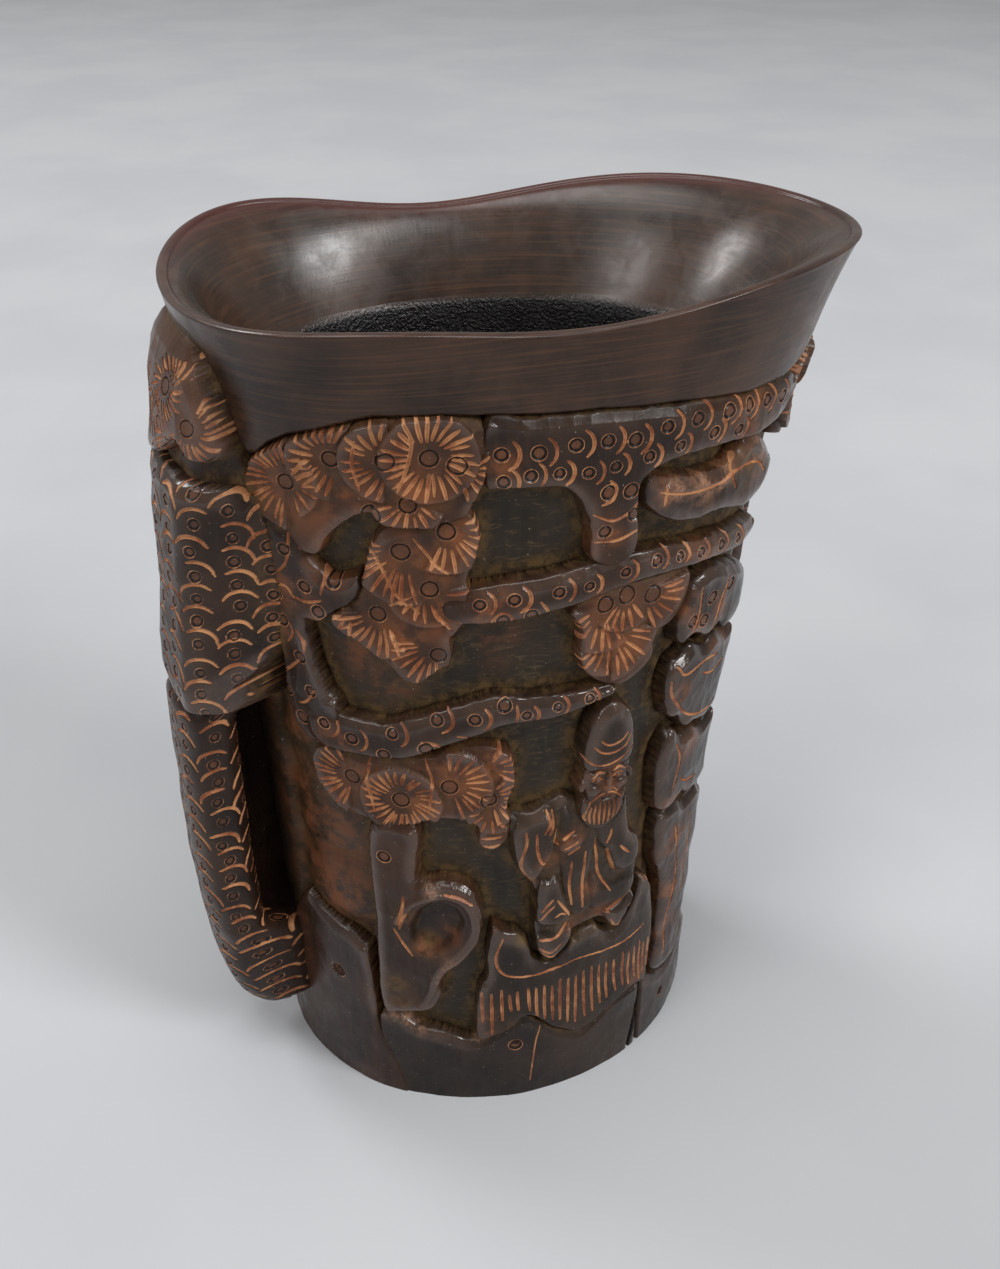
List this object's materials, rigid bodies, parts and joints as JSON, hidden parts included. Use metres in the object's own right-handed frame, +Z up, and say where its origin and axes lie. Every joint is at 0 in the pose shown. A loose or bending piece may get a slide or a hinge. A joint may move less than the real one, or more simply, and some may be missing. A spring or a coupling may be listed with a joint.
{
  "type": "horn libation cup",
  "caption": "Carved horn libation cup with a lobed flared mouth, a deep well, a trunk-shaped handle and pine, rock and seated-figure relief on an oval foot.",
  "frame": {"origin": "centre of the oval foot's underside", "axes": "+Z up out of the mouth, +X to the pouring lip, -Y to the side carved with the seated figure"},
  "size_m": [0.1002, 0.0624, 0.1319],
  "materials": {
    "horn_polished": "polished dark horn",
    "horn_plug": "sanded dark horn",
    "horn_trunk": "carved horn with orange-brown cuts",
    "horn_needles": "carved horn, warm brown, fine cut lines",
    "horn_figure": "carved horn with orange-brown cuts",
    "horn_rock": "satin dark horn",
    "horn_root": "satin reddish brown horn"
  },
  "bodies": {
    "root": {"cup_body": "horn_polished", "foot_plug": "horn_plug", "cloud_rock": "horn_rock", "drilled_rock": "horn_rock", "fringed_mat": "horn_figure", "front_bough": "horn_trunk", "front_foot_rocks": "horn_rock", "handle_burl": "horn_trunk", "handle_needle_cluster": "horn_needles", "handle_trunk": "horn_trunk", "hollow_stump": "horn_root", "lower_branch": "horn_trunk", "lower_needle_cluster": "horn_needles", "middle_branch": "horn_trunk", "middle_needle_cluster": "horn_needles", "rear_bough": "horn_trunk", "rear_cliff_lower": "horn_rock", "rear_cliff_middle": "horn_rock", "rear_cliff_upper": "horn_rock", "rear_foot_rocks": "horn_rock", "rear_lower_branch": "horn_trunk", "rear_lower_needle_cluster": "horn_needles", "rear_middle_needle_cluster": "horn_needles", "rear_stump": "horn_root", "rear_upper_branch": "horn_trunk", "rear_upper_needle_cluster": "horn_needles", "right_needle_cluster": "horn_needles", "sage_head": "horn_figure", "sage_robe": "horn_figure", "slope_rock": "horn_rock", "smooth_rock_lower": "horn_rock", "smooth_rock_upper": "horn_rock", "spout_bough": "horn_trunk", "spout_foot_rocks": "horn_rock", "spout_needle_cluster": "horn_needles", "trunk_root": "horn_root", "upper_branch": "horn_trunk", "upper_needle_cluster": "horn_needles"}
  },
  "joints": []
}
